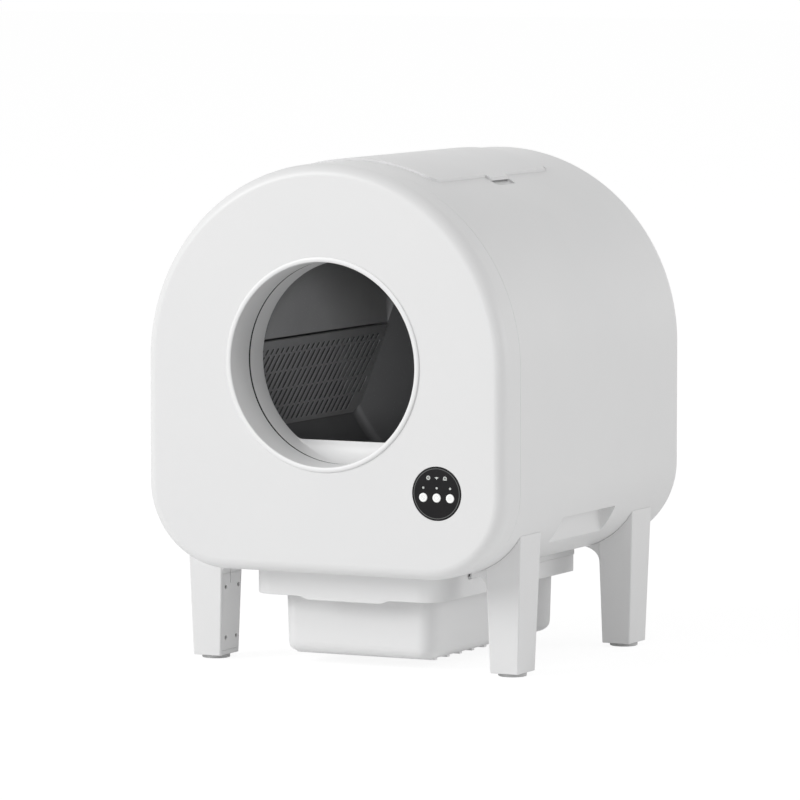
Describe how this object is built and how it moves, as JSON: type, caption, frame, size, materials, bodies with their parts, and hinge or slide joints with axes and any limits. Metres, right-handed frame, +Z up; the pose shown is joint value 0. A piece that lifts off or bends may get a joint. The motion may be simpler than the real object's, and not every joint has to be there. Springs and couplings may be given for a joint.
{
  "type": "self cleaning litter box",
  "caption": "Litter box with a rotating sieve drum in an arched housing on legs, a round entry, a control panel, a top lid and a pull-out waste drawer.",
  "frame": {"origin": "on the floor, in the middle of the bounding box's footprint", "axes": "+X to the right seen from the front, +Y from front to back, +Z up"},
  "size_m": [0.5, 0.5584, 0.643],
  "materials": {
    "white_plastic": "satin",
    "dark_grey_plastic": "fine matte",
    "black_gloss": "gloss",
    "grey_rubber": "matte",
    "steel": "plain",
    "gear_plastic": "smooth",
    "circuit_board": "solder resist",
    "light_guide": "smooth"
  },
  "bodies": {
    "housing": {"front_cover": "white_plastic", "entry_ring": "white_plastic", "housing_shell": "white_plastic", "rear_cover": "white_plastic", "power_inlet": "black_gloss", "lid_hinge_pin_front": "steel", "lid_hinge_pin_rear": "steel", "base_plate": "white_plastic", "waste_chute": "white_plastic", "drawer_rail_left": "white_plastic", "drawer_rail_right": "white_plastic", "leg_front_left": "white_plastic", "leg_front_right": "white_plastic", "leg_rear_left": "white_plastic", "leg_rear_right": "white_plastic", "leg_plate_front_left": "white_plastic", "leg_plate_front_right": "white_plastic", "leg_plate_rear_left": "white_plastic", "leg_plate_rear_right": "white_plastic", "foot_pad_front_left": "grey_rubber", "foot_pad_front_right": "grey_rubber", "foot_pad_rear_left": "grey_rubber", "foot_pad_rear_right": "grey_rubber", "motor_bracket": "steel", "gear_motor": "steel", "roller_bracket_front": "white_plastic", "roller_bracket_rear": "white_plastic", "roller_axle_front_left": "steel", "roller_axle_front_right": "steel", "roller_axle_rear_left": "steel", "roller_axle_rear_right": "steel", "position_sensor": "circuit_board", "presence_sensor": "circuit_board", "main_board": "circuit_board", "control_panel": "black_gloss", "indicator_lens": "light_guide", "panel_board": "circuit_board"},
    "drum": {"drum_shell": "dark_grey_plastic", "drum_front_wall": "dark_grey_plastic", "drum_collar": "white_plastic", "guard_panel": "dark_grey_plastic", "sieve_screen": "dark_grey_plastic", "ring_gear": "dark_grey_plastic", "drum_magnet": "steel"},
    "pinion": {"drive_pinion": "gear_plastic", "pinion_shaft": "steel"},
    "roller_fl": {"roller_front_left": "gear_plastic"},
    "roller_fr": {"roller_front_right": "gear_plastic"},
    "roller_rl": {"roller_rear_left": "gear_plastic"},
    "roller_rr": {"roller_rear_right": "gear_plastic"},
    "lid": {"top_lid": "white_plastic"},
    "drawer": {"waste_drawer": "white_plastic"},
    "button_l": {"button_left": "light_guide"},
    "button_m": {"button_middle": "light_guide"},
    "button_r": {"button_right": "light_guide"}
  },
  "joints": [
    {"name": "drum_spin", "type": "hinge", "parent": "housing", "child": "drum", "pos_m": [0, 0, 0.39], "axis": [0, 1, 0], "range_deg": [-30, 200]},
    {"name": "pinion_spin", "type": "hinge", "parent": "housing", "child": "pinion", "pos_m": [0.15527, 0, 0.19126], "axis": [0, 1, 0], "range_deg": [-1905, 290]},
    {"name": "roller_fl_spin", "type": "hinge", "parent": "housing", "child": "roller_fl", "pos_m": [-0.11475, -0.17175, 0.19125], "axis": [0, 1, 0], "range_deg": [-3620, 545]},
    {"name": "roller_fr_spin", "type": "hinge", "parent": "housing", "child": "roller_fr", "pos_m": [0.11475, -0.17175, 0.19125], "axis": [0, 1, 0], "range_deg": [-3620, 545]},
    {"name": "roller_rl_spin", "type": "hinge", "parent": "housing", "child": "roller_rl", "pos_m": [-0.11475, 0.14325, 0.19125], "axis": [0, 1, 0], "range_deg": [-3620, 545]},
    {"name": "roller_rr_spin", "type": "hinge", "parent": "housing", "child": "roller_rr", "pos_m": [0.11475, 0.14325, 0.19125], "axis": [0, 1, 0], "range_deg": [-3620, 545]},
    {"name": "lid_hinge", "type": "hinge", "parent": "housing", "child": "lid", "pos_m": [-0.11289, 0, 0.62066], "axis": [0, -1, 0], "range_deg": [0, 100]},
    {"name": "drawer_slide", "type": "slide", "parent": "housing", "child": "drawer", "axis": [0, -1, 0], "range_m": [0, 0.35]},
    {"name": "button_left_press", "type": "slide", "parent": "housing", "child": "button_l", "axis": [0, 1, 0], "range_m": [0, 0.0012], "stiffness_N_per_m": 300, "springref_m": -0.001},
    {"name": "button_middle_press", "type": "slide", "parent": "housing", "child": "button_m", "axis": [0, 1, 0], "range_m": [0, 0.0012], "stiffness_N_per_m": 300, "springref_m": -0.001},
    {"name": "button_right_press", "type": "slide", "parent": "housing", "child": "button_r", "axis": [0, 1, 0], "range_m": [0, 0.0012], "stiffness_N_per_m": 300, "springref_m": -0.001}
  ],
  "couplings": [
    {"joint": "pinion_spin", "follows": "drum_spin", "ratio": -9.5},
    {"joint": "roller_fl_spin", "follows": "drum_spin", "ratio": -18.083},
    {"joint": "roller_fr_spin", "follows": "drum_spin", "ratio": -18.083},
    {"joint": "roller_rl_spin", "follows": "drum_spin", "ratio": -18.083},
    {"joint": "roller_rr_spin", "follows": "drum_spin", "ratio": -18.083}
  ]
}
